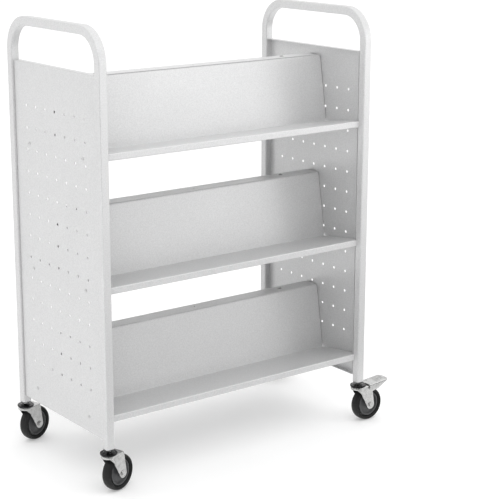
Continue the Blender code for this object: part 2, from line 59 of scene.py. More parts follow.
# --- sheet steel --------------------------------
SHEET = 1.2 * MM
GAP = 0.3 * MM                  # between pieces that touch
HOLE_RADIUS = 3.8 * MM
HOLE_COLUMNS = 7
HOLE_ROWS = 13
HOLE_PITCH_Y = 51 * MM
HOLE_PITCH_Z = 61.25 * MM
HOLE_TOP_BELOW = 118 * MM       # top row of holes, below the panel's top edge
HOLE_SIDE_STEPS = 6             # faces along each side of a hole's cell
PANEL_FOLD = 2.6 * MM
PANEL_GAP = 0.9 * MM            # between a panel and the legs beside it
FOLD_STEPS = 5

# --- shelves ------------------------------------
LIP_HEIGHT = 19 * MM
LIP_RETURN = 8 * MM
LIP_FOLD = 2.4 * MM
LIP_SLACK = 2.2 * MM            # between the lip's end and the leg
STRIP_STEP = 2.2 * MM           # last column of the upper flange, in from its cut corner
FOLD_Y = 57.5 * MM              # fold between tray and sloped back, from the middle of the cart
FOLD_DEEP = 3 * MM
TRAY_TILT = math.radians(7.5)
BACK_HEIGHT = 194 * MM          # top of the front shelf's back, above the fold
TOP_STRIP = 50 * MM
TOP_FOLD = 5 * MM
STRIP_OVERLAP = (47 * MM, 49.6 * MM)    # how far the lower and the upper top flange reach across
STRIP_CORNER = 30 * MM          # cut off the corners of the upper flange
NOTCH_Y = 212 * MM              # in front of this the tray passes between the legs
END_FOLD = 3.6 * MM             # fold of a shelf's end flanges
TAB_DEPTH = 18 * MM
TRAY_TAB = (68 * MM, 205 * MM)  # the tray's end flange, from the middle of the cart
BACK_TAB = (8 * MM, 186 * MM)   # the sloped back's end flange, above the fold

# --- fasteners ----------------------------------
SCREW_HEAD_RADIUS = 4.6 * MM
SCREW_HEAD = 2.4 * MM
SCREW_HEAD_RIM = 0.8 * MM       # upright part of the head, below its dome
SCREW_STEPS = 40
SCREW_SHANK = 2.2 * MM
SCREW_LENGTH = 9 * MM
RECESS_HALF = 0.6 * MM          # cross recess: half the width of an arm, its reach and its depth
RECESS_REACH = 2.6 * MM
RECESS_DEPTH = 1.1 * MM
WASHER_RADIUS = 6.5 * MM
WASHER = 1.0 * MM
WASHER_EDGE = 0.3 * MM
WASHER_GAP = 0.05 * MM          # under the washer, and between it and the screw's head
STRIP_SCREW_X = 320 * MM        # from mid-length to the screws along the top strip
STRIP_HOLE_RADIUS = 3.5 * MM

# --- casters: x' runs from the stem towards the wheel, y' along the axle ---
CHEEK_OUTER = 20.5 * MM         # half of the fork's width
CHEEK_SHEET = 2.5 * MM
CHEEK_NOSE = 14 * MM            # radius of the cheek round the axle
CROWN_TOP = 112 * MM
CROWN_FRONT = 40 * MM
CROWN_MIDDLE = -2 * MM          # middle of the crown's round rear end
CROWN_BEND = 4 * MM
CROWN_HOLE = 6 * MM
SKIRT_LOW = 104 * MM            # lower edge of the crown's rear skirt
CHEEK_SLANT = 89 * MM           # behind the cheek its edge slants down: x' + z stays at this
CHEEK_KNEE = (13 * MM, 66 * MM)
CHEEK_COLUMNS = 44
CHEEK_ROWS = 18
REAR_COLUMNS = 28
JOGGLE = 1.9 * MM               # the cheek's leading part is pressed in by this
CREASE_X = 17 * MM              # where the pressing ends, and half the width of its slope
CREASE_SOFT = 0.9 * MM
ROUND = 48                      # sides of the small round pieces
WHEEL_STEPS = 96
STEM_RADIUS = 5 * MM
AXLE_RADIUS = 4 * MM
HEAD_LOW = 104.7 * MM           # the stem's head, under the crown
HEAD_TOP = 108.7 * MM
CAP_LOW = 112.8 * MM
CAP_TOP = 119.3 * MM
HEX_TOP = 125.4 * MM
PLUG_FLANGE = 2 * MM
PLUG_LENGTH = 30 * MM

# --- brake pedals -------------------------------
PEDAL_START = 28.5 * MM
PEDAL_TIP = 104.8 * MM
PEDAL_LOW = 116 * MM            # top of the tread plate at its root
PEDAL_HIGH = 122 * MM           # and at its tip
PEDAL_HALF = 22.9 * MM
PEDAL_SHEET = 1.8 * MM
PEDAL_BEND = 3 * MM
PEDAL_CORNER = 11 * MM          # corners of the tip, in plan
PEDAL_STATIONS = 90
PEDAL_HEM = ((28.5, 101), (31, 100.6), (40, 94), (62, 98), (82, 109), (105, 119))
RIB_START = 60 * MM
RIB_END = 96 * MM
RIB_PITCH = 7.2 * MM
RIB_HEIGHT = 2.0 * MM
RIB_FOOT = 0.86                 # a rib's end slopes up between these shares of the tread's half width
RIB_SHOULDER = 0.78
SHOE_X = 76 * MM
SHOE_BOTTOM = 95 * MM
SHOE_HALF = 11 * MM
SHOE_SHEET = 3 * MM
SHOE_EDGE = 0.4 * MM
PIN_X = 30 * MM
PIN_Z = 105.8 * MM


def middle(node):
    low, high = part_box(node)
    return (low + high) / 2


LEFT_LOW, LEFT_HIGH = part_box("end_tube_left")
RIGHT_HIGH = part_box("end_tube_right")[1]
CENTRE = Vector(((LEFT_LOW.x + RIGHT_HIGH.x) / 2, (LEFT_LOW.y + LEFT_HIGH.y) / 2, 0))
TUBE = LEFT_HIGH.x - LEFT_LOW.x
HALF_LENGTH = (RIGHT_HIGH.x - LEFT_LOW.x) / 2
HALF_DEPTH = (LEFT_HIGH.y - LEFT_LOW.y) / 2
HEIGHT = LEFT_HIGH.z
LEG_BOTTOM = LEFT_LOW.z
PANEL_LOW, PANEL_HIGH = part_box("end_panel_left")
SHELF_LOW, SHELF_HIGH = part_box("top_shelf_front")
LIP_Y = CENTRE.y - SHELF_LOW.y
SHELF_END = SHELF_HIGH.x - CENTRE.x
LIP_END = HALF_LENGTH - TUBE - LIP_SLACK
LEVELS = ("bottom", "middle", "top")
CASTERS = ("front_left", "rear_left", "front_right", "rear_right")
BRAKED = ("front_right", "rear_right")
AXLE_Z = middle("front_right_tyre").z
TRAIL = middle("front_right_tyre").x - middle("front_right_stem").x


# --- materials ----------------------------------
def set_range(node, numbers):
    """Set a map range node's two ranges: from low and high, to low and high."""
    for socket, number in zip(("From Min", "From Max", "To Min", "To Max"), numbers):
        node.inputs[socket].default_value = number


class Nodes:
    """A short way to write a material's node tree."""

    def __init__(self, name):
        self.made = bpy.data.materials.new(name)
        self.made.use_nodes = True
        self.tree = self.made.node_tree
        self.shader = self.tree.nodes["Principled BSDF"]
        self.place = self.add("ShaderNodeTexCoord").outputs["Object"]

    def add(self, kind, **settings):
        node = self.tree.nodes.new(kind)
        for key, value in settings.items():
            setattr(node, key, value)
        return node

    def link(self, output, target):
        self.tree.links.new(output, target)

    def noise(self, scale, detail=2.0, roughness=0.5):
        """A cloudy pattern; scale is in features per metre."""
        node = self.add("ShaderNodeTexNoise")
        node.inputs["Scale"].default_value = scale
        node.inputs["Detail"].default_value = detail
        node.inputs["Roughness"].default_value = roughness
        self.link(self.place, node.inputs["Vector"])
        return node.outputs["Fac"]

    def cells(self, scale):
        """A patchwork of random greys; scale is in cells per metre."""
        node = self.add("ShaderNodeTexVoronoi")
        node.inputs["Scale"].default_value = scale
        self.link(self.place, node.inputs["Vector"])
        return node.outputs["Color"]

    def remap(self, value, low, high, new_low, new_high):
        node = self.add("ShaderNodeMapRange")
        set_range(node, (low, high, new_low, new_high))
        self.link(value, node.inputs["Value"])
        return node.outputs["Result"]

    def blend(self, factor, first, second):
        """A colour between two colours."""
        node = self.add("ShaderNodeMix", data_type="RGBA")
        self.link(factor, node.inputs["Factor"])
        for socket, colour in ((node.inputs["A"], first), (node.inputs["B"], second)):
            if isinstance(colour, tuple):
                socket.default_value = (*colour, 1.0)
            else:
                self.link(colour, socket)
        return node.outputs["Result"]

    def bump(self, height, strength, distance, below=None):
        node = self.add("ShaderNodeBump")
        node.inputs["Strength"].default_value = strength
        node.inputs["Distance"].default_value = distance
        self.link(height, node.inputs["Height"])
        if below is not None:
            self.link(below, node.inputs["Normal"])
        return node.outputs["Normal"]

    def finish(self, colour, roughness, normal, **numbers):
        """Wire the patterns into the shader and set its plain numbers."""
        self.link(colour, self.shader.inputs["Base Color"])
        self.link(roughness, self.shader.inputs["Roughness"])
        self.link(normal, self.shader.inputs["Normal"])
        for socket, number in numbers.items():
            self.shader.inputs[socket.replace("_", " ")].default_value = number
        return self.made


def powder_coat_look():
    """Silver-grey powder coat: metal flake under a semi-gloss skin, with a fine sandy grain."""
    n = Nodes("powder_coat_paint")
    speckle = n.remap(n.noise(300, 2.0, 0.6), 0.34, 0.66, 0.0, 1.0)
    clouds = n.remap(n.noise(7, 2.0), 0.3, 0.7, 0.0, 1.0)
    grain = n.blend(speckle, (0.520, 0.521, 0.523), (0.780, 0.781, 0.783))
    tone = n.blend(clouds, (0.640, 0.641, 0.643), (0.665, 0.666, 0.668))
    colour = n.add("ShaderNodeMix", data_type="RGBA")
    colour.inputs["Factor"].default_value = 0.68
    n.link(grain, colour.inputs["A"])
    n.link(tone, colour.inputs["B"])
    roughness = n.remap(n.noise(260, 2.0), 0.3, 0.7, 0.30, 0.42)
    fine = n.bump(n.noise(900, 2.0), 0.12, 0.25 * MM)
    peel = n.bump(n.noise(330, 1.0), 0.10, 0.5 * MM, fine)
    return n.finish(colour.outputs["Result"], roughness, peel, IOR=1.5, Metallic=0.25)


def zinc_look(name, low, high, tint):
    """Bright zinc plating between two roughnesses, with the faint patchwork of its crystals."""
    n = Nodes(name)
    patches = n.add("ShaderNodeSeparateColor")
    n.link(n.cells(520), patches.inputs["Color"])
    clouds = n.noise(90, 3.0)
    tone = n.blend(patches.outputs["Red"], tuple(0.90 * c for c in tint), tint)
    stain = n.remap(clouds, 0.40, 0.75, 0.0, 0.7)
    colour = n.blend(stain, tone, tuple(0.62 * c for c in tint))
    roughness = n.remap(n.noise(240, 4.0), 0.3, 0.7, low, high)
    rolled = n.bump(n.noise(600, 3.0), 0.05, 0.2 * MM)
    return n.finish(colour, roughness, rolled, Metallic=1.0)


def dark_steel_look():
    """Oil-black steel of the bearing caps."""
    n = Nodes("dark_oiled_steel")
    clouds = n.remap(n.noise(160, 4.0), 0.35, 0.7, 0.0, 1.0)
    colour = n.blend(clouds, (0.020, 0.020, 0.021), (0.055, 0.055, 0.057))
    roughness = n.remap(n.noise(300, 3.0), 0.3, 0.7, 0.12, 0.26)
    normal = n.bump(n.noise(700, 2.0), 0.12, 0.2 * MM)
    return n.finish(colour, roughness, normal, Metallic=1.0)


def rubber_look():
    """Black moulded rubber, a little dusty."""
    n = Nodes("moulded_black_rubber")
    dust = n.remap(n.noise(70, 5.0, 0.65), 0.45, 0.8, 0.0, 0.3)
    colour = n.blend(dust, (0.005, 0.005, 0.005), (0.028, 0.027, 0.026))
    roughness = n.remap(n.noise(220, 3.0), 0.3, 0.7, 0.42, 0.62)
    normal = n.bump(n.noise(1100, 3.0), 0.25, 0.2 * MM)
    return n.finish(colour, roughness, normal, IOR=1.45, Specular_IOR_Level=0.4)


def moulded_look(name, dark, light, low, high):
    """Moulded plastic with a fine spark-eroded grain."""
    n = Nodes(name)
    colour = n.blend(n.remap(n.noise(120, 4.0), 0.3, 0.7, 0.0, 1.0), dark, light)
    roughness = n.remap(n.noise(400, 2.0), 0.3, 0.7, low, high)
    normal = n.bump(n.noise(1500, 2.0), 0.22, 0.15 * MM)
    return n.finish(colour, roughness, normal, IOR=1.49)


def make_looks():
    bright = (0.80, 0.805, 0.81)
    return {
        "paint": powder_coat_look(),
        "satin_zinc": zinc_look("satin_zinc", 0.16, 0.28, (0.60, 0.60, 0.595)),
        "bright_zinc": zinc_look("bright_zinc", 0.08, 0.20, bright),
        "dark_steel": dark_steel_look(),
        "rubber": rubber_look(),
        "hub": moulded_look("hub_plastic", (0.045, 0.046, 0.048), (0.070, 0.071, 0.073), 0.38, 0.52),
        "plastic": moulded_look("plug_plastic", (0.018, 0.018, 0.019), (0.035, 0.035, 0.036), 0.40, 0.55),
    }


LOOKS = make_looks()


# --- mesh helpers -------------------------------
def add_piece(name, bm, look, body, replaces=(), turn=None, sharp=32):
    """Finish a piece: outward faces, shading, material, the body it rides on and the nodes it stands for."""
    bmesh.ops.remove_doubles(bm, verts=bm.verts, dist=0.002 * MM)
    bmesh.ops.recalc_face_normals(bm, faces=bm.faces)
    mesh = bpy.data.meshes.new(name)
    bm.to_mesh(mesh)
    bm.free()
    if turn is not None:
        mesh.transform(turn)
    mesh.materials.append(LOOKS[look])
    mesh.shade_smooth()
    mesh.set_sharp_from_angle(angle=math.radians(sharp))
    piece = bpy.data.objects.new(name, mesh)
    bpy.context.scene.collection.objects.link(piece)
    weighted = piece.modifiers.new("even_normals", "WEIGHTED_NORMAL")
    weighted.keep_sharp = True
    weighted.weight = 100
    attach(piece, body)
    if replaces:
        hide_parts(*replaces)
    return piece


def skin(rings, hoop=False):
    """Join rings of points into a closed skin. A hoop joins its last ring to its first."""
    bm = bmesh.new()
    loops = [[bm.verts.new(point) for point in ring] for ring in rings]
    pairs = list(zip(loops, loops[1:]))
    if hoop:
        pairs.append((loops[-1], loops[0]))
    for first, second in pairs:
        for i in range(len(first)):
            j = (i + 1) % len(first)
            bm.faces.new((first[i], first[j], second[j], second[i]))
    if not hoop:
        bm.faces.new(loops[0])
        bm.faces.new(loops[-1])
    return bm


def filleted(points, radius, steps, closed=True):
    """An outline with its corners rounded. radius is one number, or one for each point."""
    count = len(points)
    radii = radius if isinstance(radius, (list, tuple)) else [radius] * count
    made = []
    for k, point in enumerate(points):
        here = Vector(point)
        if radii[k] <= 0 or (not closed and k in (0, count - 1)):
            made.append(here)
            continue
        first = Vector(points[k - 1]) - here
        last = Vector(points[(k + 1) % count]) - here
        half = first.angle(last) / 2
        reach = min(radii[k] / math.tan(half), 0.48 * first.length, 0.48 * last.length)
        size = reach * math.tan(half)
        centre = here + (first.normalized() + last.normalized()).normalized() * (size / math.sin(half))
        start = here + first.normalized() * reach - centre
        end = here + last.normalized() * reach - centre
        sweep = start.angle_signed(end)
        made += [centre + Matrix.Rotation(-sweep * i / steps, 2) @ start for i in range(steps + 1)]
    return made


def arc(centre, radius, start, end, steps):
    """Points on an arc, angles in degrees."""
    angles = [math.radians(start + (end - start) * k / steps) for k in range(steps + 1)]
    return [Vector((centre[0] + radius * math.cos(a), centre[1] + radius * math.sin(a))) for a in angles]


def turned(profile, steps, axis="Z", bored=False, hexagon=()):
    """Turn (radius, height) points round an axis. Points whose indices are in hexagon get six flats."""
    rings = []
    for index, (radius, height) in enumerate(profile):
        ring = []
        for k in range(steps):
            angle = 2 * math.pi * k / steps
            reach = radius
            if index in hexagon:
                off = (angle + math.pi / 6) % (math.pi / 3) - math.pi / 6
                reach = radius * math.cos(math.pi / 6) / math.cos(off)
            ring.append(Vector((reach * math.cos(angle), reach * math.sin(angle), height)))
        rings.append(ring)
    bm = skin(rings, hoop=bored)
    if axis == "Y":
        bm.transform(Matrix.Rotation(math.radians(90), 4, "X"))
    return bm


def merged(*parts):
    """Several bmeshes in one."""
    whole = bmesh.new()
    for part in parts:
        bmesh.ops.recalc_face_normals(part, faces=part.faces)
        scrap = bpy.data.meshes.new("scrap")
        part.to_mesh(scrap)
        part.free()
        whole.from_mesh(scrap)
        bpy.data.meshes.remove(scrap)
    return whole


def moved(bm, x=0.0, y=0.0, z=0.0):
    bm.transform(Matrix.Translation((x, y, z)))
    return bm


def scrap_object(bm):
    """A helper object made from a bmesh, for one modifier's work."""
    mesh = bpy.data.meshes.new("scrap")
    bm.to_mesh(mesh)
    bm.free()
    scrap = bpy.data.objects.new("scrap", mesh)
    bpy.context.scene.collection.objects.link(scrap)
    return scrap


def discard(scrap):
    mesh = scrap.data
    bpy.data.objects.remove(scrap)
    bpy.data.meshes.remove(mesh)


def modified(bm, kind, **settings):
    """A bmesh after one modifier."""
    scrap = scrap_object(bm)
    modifier = scrap.modifiers.new("step", kind)
    for key, value in settings.items():
        setattr(modifier, key, value)
    bpy.context.view_layer.update()
    result = bpy.data.meshes.new_from_object(scrap.evaluated_get(bpy.context.evaluated_depsgraph_get()))
    discard(scrap)
    made = bmesh.new()
    made.from_mesh(result)
    bpy.data.meshes.remove(result)
    return made


def thickened(bm, thickness, out):
    """Give an open sheet its thickness, added on the far side from the direction out."""
    bmesh.ops.recalc_face_normals(bm, faces=bm.faces)
    widest = max(bm.faces, key=lambda face: abs(face.normal.dot(out)) * face.calc_area())
    if widest.normal.dot(out) < 0:
        bmesh.ops.reverse_faces(bm, faces=bm.faces)
    even = {"use_even_offset": True, "use_quality_normals": True}
    return modified(bm, "SOLIDIFY", thickness=thickness, offset=-1, **even)


def drilled(bm, radius, height):
    """A sheet with a round upright hole through it at x = y = 0."""
    drill = turned([(radius, height - 10 * MM), (radius, height + 10 * MM)], ROUND)
    bmesh.ops.recalc_face_normals(drill, faces=drill.faces)
    cutter = scrap_object(drill)
    made = modified(bm, "BOOLEAN", operation="DIFFERENCE", object=cutter)
    discard(cutter)
    return made


def along(path, share):
    """The point at a share of an open path's length."""
    lengths = [(Vector(b) - Vector(a)).length for a, b in zip(path, path[1:])]
    left = share * sum(lengths)
    for start, end, length in zip(path, path[1:], lengths):
        if left <= length:
            return Vector(start).lerp(Vector(end), left / length)
        left -= length
    return Vector(path[-1])


def eased(value, low, high):
    """0 below low, 1 above high, and a smooth rise between."""
    share = min(max((value - low) / (high - low), 0.0), 1.0)
    return share * share * (3 - 2 * share)


def plate(outline, low, high, edge):
    """An upright plate between two levels in y, with its outer edges rounded by edge."""
    def level(points, y):
        return [Vector((x, y, z)) for x, z in points]

    count = len(outline)
    inner = []
    for k in range(count):
        before, here, after = (Vector(outline[(k + s) % count]) for s in (-1, 0, 1))
        heading = ((here - before).normalized() + (after - here).normalized()).normalized()
        inner.append(here + Vector((-heading.y, heading.x)) * edge)
    area = sum(a[0] * b[1] - b[0] * a[1] for a, b in zip(outline, outline[1:] + outline[:1]))
    if area < 0:
        inner = [2 * Vector(here) - inside for here, inside in zip(outline, inner)]
    middle_ring = [Vector(a) * 0.7 + Vector(b) * 0.3 for a, b in zip(outline, inner)]
    rings = [
        level(inner, low),
        level(middle_ring, low + 0.3 * edge),
        level(outline, low + edge),
        level(outline, high - edge),
        level(middle_ring, high - 0.3 * edge),
        level(inner, high),
    ]
    return skin(rings)


# --- end frames ---------------------------------
def tube_outline(half, corner):
    """A square with rounded corners, as (across, along) offsets."""
    corners = [(half, -half), (half, half), (-half, half), (-half, -half)]
    return filleted(corners, corner, TUBE_EDGE_STEPS)


def handle_path():
    """Stations (y, z, angle) from one leg's foot over the handle to the other's."""
    leg_y = HALF_DEPTH - TUBE / 2
    shoulder = HEIGHT - TUBE / 2 - BEND_RADIUS
    side = leg_y - BEND_RADIUS
    stations = [(-leg_y, LEG_BOTTOM, 180.0)]
    for k in range(BEND_STEPS + 1):
        angle = 180 - 90 * k / BEND_STEPS
        turn = math.radians(angle)
        y = -side + BEND_RADIUS * math.cos(turn)
        stations.append((y, shoulder + BEND_RADIUS * math.sin(turn), angle))
    return stations + [(-y, z, 180 - angle) for y, z, angle in reversed(stations)]


def make_end_tubes():
    """The two bent tubes, open at their feet."""
    outer = tube_outline(TUBE / 2, TUBE_EDGE)
    inner = tube_outline(TUBE / 2 - TUBE_WALL, TUBE_EDGE - TUBE_WALL)
    stations = handle_path()

    def ring(outline, station):
        y, z, angle = station
        out = Vector((0, math.cos(math.radians(angle)), math.sin(math.radians(angle))))
        return [Vector((across, y, z)) + out * outward for across, outward in outline]

    for name, side in (("left", -1), ("right", 1)):
        rings = [ring(outer, station) for station in stations]
        rings += [ring(inner, station) for station in reversed(stations)]
        bm = moved(skin(rings, hoop=True), CENTRE.x + side * (HALF_LENGTH - TUBE / 2), CENTRE.y)
        add_piece(f"bent_tube_{name}", bm, "paint", "frame", [f"end_tube_{name}"])


# --- end panels ---------------------------------
def cell_outline(y, z):
    """Points round the edge of one hole's cell, in step with the hole's own points."""
    half_y, half_z = HOLE_PITCH_Y / 2, HOLE_PITCH_Z / 2
    corners = [(-half_y, -half_z), (half_y, -half_z), (half_y, half_z), (-half_y, half_z)]
    points = []
    for start, end in zip(corners, corners[1:] + corners[:1]):
        for k in range(HOLE_SIDE_STEPS):
            share = k / HOLE_SIDE_STEPS
            across = y + start[0] + (end[0] - start[0]) * share
            points.append((across, z + start[1] + (end[1] - start[1]) * share))
    return points


def add_hole_cell(bm, y, z):
    """A rectangle of sheet with a round hole in it, in the plane x = 0."""
    steps = 4 * HOLE_SIDE_STEPS
    edge = [bm.verts.new((0, a, b)) for a, b in cell_outline(y, z)]
    hole = []
    for k in range(steps):
        angle = math.radians(-135 + 360 * k / steps)
        across, up = HOLE_RADIUS * math.cos(angle), HOLE_RADIUS * math.sin(angle)
        hole.append(bm.verts.new((0, y + across, z + up)))
    for k in range(steps):
        j = (k + 1) % steps
        bm.faces.new((edge[k], edge[j], hole[j], hole[k]))


def fold_rows(depth):
    """Offsets of a folded edge from the sheet's plane to the flange's end: (along it, into the cart)."""
    bend = arc((0, PANEL_FOLD), PANEL_FOLD, -90, 0, FOLD_STEPS)
    return [*bend, (PANEL_FOLD, depth)]


def end_panel(half, low, high, depth):
    """A perforated sheet with its four edges folded in, its outer face at x = 0."""
    bm = bmesh.new()
    half_field = HOLE_COLUMNS * HOLE_PITCH_Y / 2
    top_row = high - HOLE_TOP_BELOW
    for row in range(HOLE_ROWS):
        for column in range(HOLE_COLUMNS):
            y = (column - (HOLE_COLUMNS - 1) / 2) * HOLE_PITCH_Y
            add_hole_cell(bm, y, top_row - row * HOLE_PITCH_Z)
    field_top = top_row + HOLE_PITCH_Z / 2
    field_low = top_row - (HOLE_ROWS - 0.5) * HOLE_PITCH_Z
    ys = [-half_field + k * HOLE_PITCH_Y / HOLE_SIDE_STEPS for k in range(HOLE_COLUMNS * HOLE_SIDE_STEPS + 1)]
    zs = [field_low + k * HOLE_PITCH_Z / HOLE_SIDE_STEPS for k in range(HOLE_ROWS * HOLE_SIDE_STEPS + 1)]
    edge_y, edge_top, edge_low = half - PANEL_FOLD, high - PANEL_FOLD, low + PANEL_FOLD

    def strip(across, stops, towards_y):
        """Quads over a grid of across by stops, laid in y or in z."""
        rows = []
        for a in across:
            rows.append([bm.verts.new((a[1], a[0], b) if towards_y else (a[1], b, a[0])) for b in stops])
        for first, second in zip(rows, rows[1:]):
            for k in range(len(stops) - 1):
                bm.faces.new((first[k], first[k + 1], second[k + 1], second[k]))

    whole_z = [edge_low, *zs, edge_top]
    for side in (-1, 1):
        flat = [(side * half_field, 0), (side * edge_y, 0)]
        fold = [(side * (edge_y + a), b) for a, b in fold_rows(depth)[1:]]
        strip(flat + fold, whole_z, True)
    for edge, base, side in ((edge_top, field_top, 1), (edge_low, field_low, -1)):
        flat = [(base, 0), (edge, 0)]
        strip(flat, ys, False)
        fold = [(edge + side * a, b) for a, b in fold_rows(depth)]
        strip(fold, [-edge_y, *ys, edge_y], False)
    bmesh.ops.remove_doubles(bm, verts=bm.verts, dist=0.01 * MM)
    return thickened(bm, SHEET, Vector((-1, 0, 0)))


def make_end_panels():
    half = HALF_DEPTH - TUBE - PANEL_GAP
    depth = PANEL_HIGH.x - PANEL_LOW.x
    for name, side in (("left", -1), ("right", 1)):
        bm = end_panel(half, PANEL_LOW.z, PANEL_HIGH.z, depth)
        if side > 0:
            bm.transform(Matrix.Rotation(math.pi, 4, "Z"))
        face = side * (CENTRE.x - PANEL_LOW.x)
        moved(bm, CENTRE.x + face, CENTRE.y)
        add_piece(f"perforated_panel_{name}", bm, "paint", "frame", [f"end_panel_{name}"])


# --- shelves ------------------------------------
def tray_height(y):
    return (y - FOLD_Y) * math.tan(TRAY_TILT)


def back_y(z, top):
    """Distance of the sloped back from the middle of the cart at a height above the fold."""
    return FOLD_Y + (TOP_STRIP / 2 - FOLD_Y) * z / top


def shelf_profile(top, overlap):
    """The folded sheet from lip to top flange: (distance from the middle, height above the fold)."""
    lip_top = tray_height(LIP_Y)
    corners = [
        (LIP_Y - LIP_RETURN, lip_top - LIP_HEIGHT),
        (LIP_Y, lip_top - LIP_HEIGHT),
        (LIP_Y, lip_top),
        (NOTCH_Y, tray_height(NOTCH_Y)),
        (TRAY_TAB[1], tray_height(TRAY_TAB[1])),
        (TRAY_TAB[0], tray_height(TRAY_TAB[0])),
        (FOLD_Y, 0.0),
        (back_y(BACK_TAB[0], top), BACK_TAB[0]),
        (back_y(BACK_TAB[1], top), BACK_TAB[1]),
        (TOP_STRIP / 2, top),
        (TOP_STRIP / 2 - overlap, top),
    ]
    radii = [0, LIP_FOLD, LIP_FOLD, 0, 0, 0, FOLD_DEEP, 0, 0, TOP_FOLD, 0]
    return filleted(corners, radii, FOLD_STEPS, closed=False)


def in_tab(y, z):
    """Whether a row of the profile carries an end flange."""
    on_tray = TRAY_TAB[0] - GAP < y < TRAY_TAB[1] + GAP and z < tray_height(y) + GAP
    on_back = BACK_TAB[0] - GAP < z < BACK_TAB[1] + GAP and y < FOLD_Y
    return on_tray or on_back


def shelf_sheet(top, overlap, cut_corners):
    """One shelf as a bmesh in (x, distance from the middle, height), the fold line at height 0."""
    bm = bmesh.new()
    profile = shelf_profile(top, overlap)
    flat_end = SHELF_END - END_FOLD
    rows = []
    for index, (y, z) in enumerate(profile):
        reach = flat_end
        if cut_corners and index == len(profile) - 1:
            reach = flat_end - STRIP_CORNER
        lip_reach = min(LIP_END, reach - STRIP_STEP)
        row = {"y": y, "tab": in_tab(y, z)}
        for end in (-1, 1):
            row[end] = {
                "lip": bm.verts.new((end * lip_reach, y, z)),
                "end": bm.verts.new((end * reach, y, z)),
                "fold": [],
            }
            if row["tab"]:
                inward = Vector((0, 0, -1)) if y > TRAY_TAB[0] - GAP else Vector((0, -1, 0))
                bend = arc((0, END_FOLD), END_FOLD, -90, 0, FOLD_STEPS)[1:]
                for a, b in bend + [Vector((END_FOLD, TAB_DEPTH))]:
                    spot = Vector((end * (flat_end + a), y, z)) + inward * b
                    row[end]["fold"].append(bm.verts.new(spot))
        rows.append(row)
    for lower, upper in zip(rows, rows[1:]):
        bm.faces.new((lower[-1]["lip"], lower[1]["lip"], upper[1]["lip"], upper[-1]["lip"]))
        if lower["y"] > NOTCH_Y + GAP and upper["y"] > NOTCH_Y - GAP:
            continue
        for end in (-1, 1):
            bm.faces.new((lower[end]["lip"], lower[end]["end"], upper[end]["end"], upper[end]["lip"]))
            if lower["tab"] and upper["tab"]:
                first = [lower[end]["end"], *lower[end]["fold"]]
                second = [upper[end]["end"], *upper[end]["fold"]]
                for k in range(len(first) - 1):
                    bm.faces.new((first[k], first[k + 1], second[k + 1], second[k]))
    loose = [vert for vert in bm.verts if not vert.link_faces]
    bmesh.ops.delete(bm, geom=loose, context="VERTS")
    return thickened(bm, SHEET, Vector((0, 0.2, 1)))


def make_shelves():
    lower, upper = STRIP_OVERLAP
    for level in LEVELS:
        for name, side, raised, overlap in (("front", -1, 0.0, lower), ("rear", 1, SHEET + GAP, upper)):
            node = f"{level}_shelf_{name}"
            top = BACK_HEIGHT + raised
            fold_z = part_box(node)[1].z - top
            bm = shelf_sheet(top, overlap, cut_corners=side > 0)
            if side < 0:
                bm.transform(Matrix.Scale(-1, 4, (0, 1, 0)))
            bm = drilled(bm, STRIP_HOLE_RADIUS, BACK_HEIGHT)
            moved(bm, CENTRE.x, CENTRE.y, fold_z)
            add_piece(f"{level}_{name}_shelf", bm, "paint", "frame", [node])


# --- fasteners ----------------------------------
def screw_recess(x, y):
    """Depth of the cross recess in a screw's head."""
    narrow, wide = sorted((abs(x), abs(y)))
    if narrow < RECESS_HALF and wide < RECESS_REACH:
        return RECESS_DEPTH
    return 0.0


def screw():
    """A pan-head screw down -Z, the underside of its head at z = 0."""
    outline = [(SCREW_HEAD_RADIUS, 0), (SCREW_HEAD_RADIUS, SCREW_HEAD_RIM)]
    for angle in range(12, 87, 6):
        a = math.radians(angle)
        height = SCREW_HEAD_RIM + (SCREW_HEAD - SCREW_HEAD_RIM) * math.sin(a)
        outline.append((SCREW_HEAD_RADIUS * math.cos(a), height))
    spokes = [2 * math.pi * k / SCREW_STEPS for k in range(SCREW_STEPS)]
    rings = []
    for height in (-SCREW_LENGTH, 0):
        rings.append([Vector((SCREW_SHANK * math.cos(a), SCREW_SHANK * math.sin(a), height)) for a in spokes])
    for radius, height in outline:
        ring = []
        for a in spokes:
            x, y = radius * math.cos(a), radius * math.sin(a)
            ring.append(Vector((x, y, height - screw_recess(x, y))))
        rings.append(ring)
    return skin(rings)


def make_shelf_screws():
    """The screws through the end panels into the shelves' end flanges."""
    for level in LEVELS:
        for row in ("front", "rear"):
            for end, side in (("left", -1), ("right", 1)):
                node = f"shelf_screw_{level}_{row}_{end}"
                low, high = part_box(node)
                bm = screw()
                bm.transform(Matrix.Rotation(math.radians(90 * side), 4, "Y"))
                seat = high.x - SCREW_HEAD if side > 0 else low.x + SCREW_HEAD
                moved(bm, seat, (low.y + high.y) / 2, (low.z + high.z) / 2)
                add_piece(f"pan_screw_{level}_{row}_{end}", bm, "paint", "frame", [node])


def washer():
    """A flat washer with softened edges."""
    bore, edge = SCREW_SHANK + GAP, WASHER_RADIUS - WASHER_EDGE
    profile = [
        (bore, 0), (edge, 0), (WASHER_RADIUS, WASHER_EDGE), (WASHER_RADIUS, WASHER - WASHER_EDGE),
        (edge, WASHER), (bore, WASHER),
    ]
    return turned(profile, ROUND, bored=True)


def make_strip_screws():
    """The screws and washers that hold each pair of top flanges together."""
    for level in LEVELS:
        strip_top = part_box(f"{level}_shelf_rear")[1].z
        for end, side in (("left", -1), ("right", 1)):
            bm = merged(washer(), moved(screw(), z=WASHER + WASHER_GAP))
            moved(bm, CENTRE.x + side * STRIP_SCREW_X, CENTRE.y, strip_top + WASHER_GAP)
            add_piece(f"strip_screw_{level}_{end}", bm, "satin_zinc", "frame")


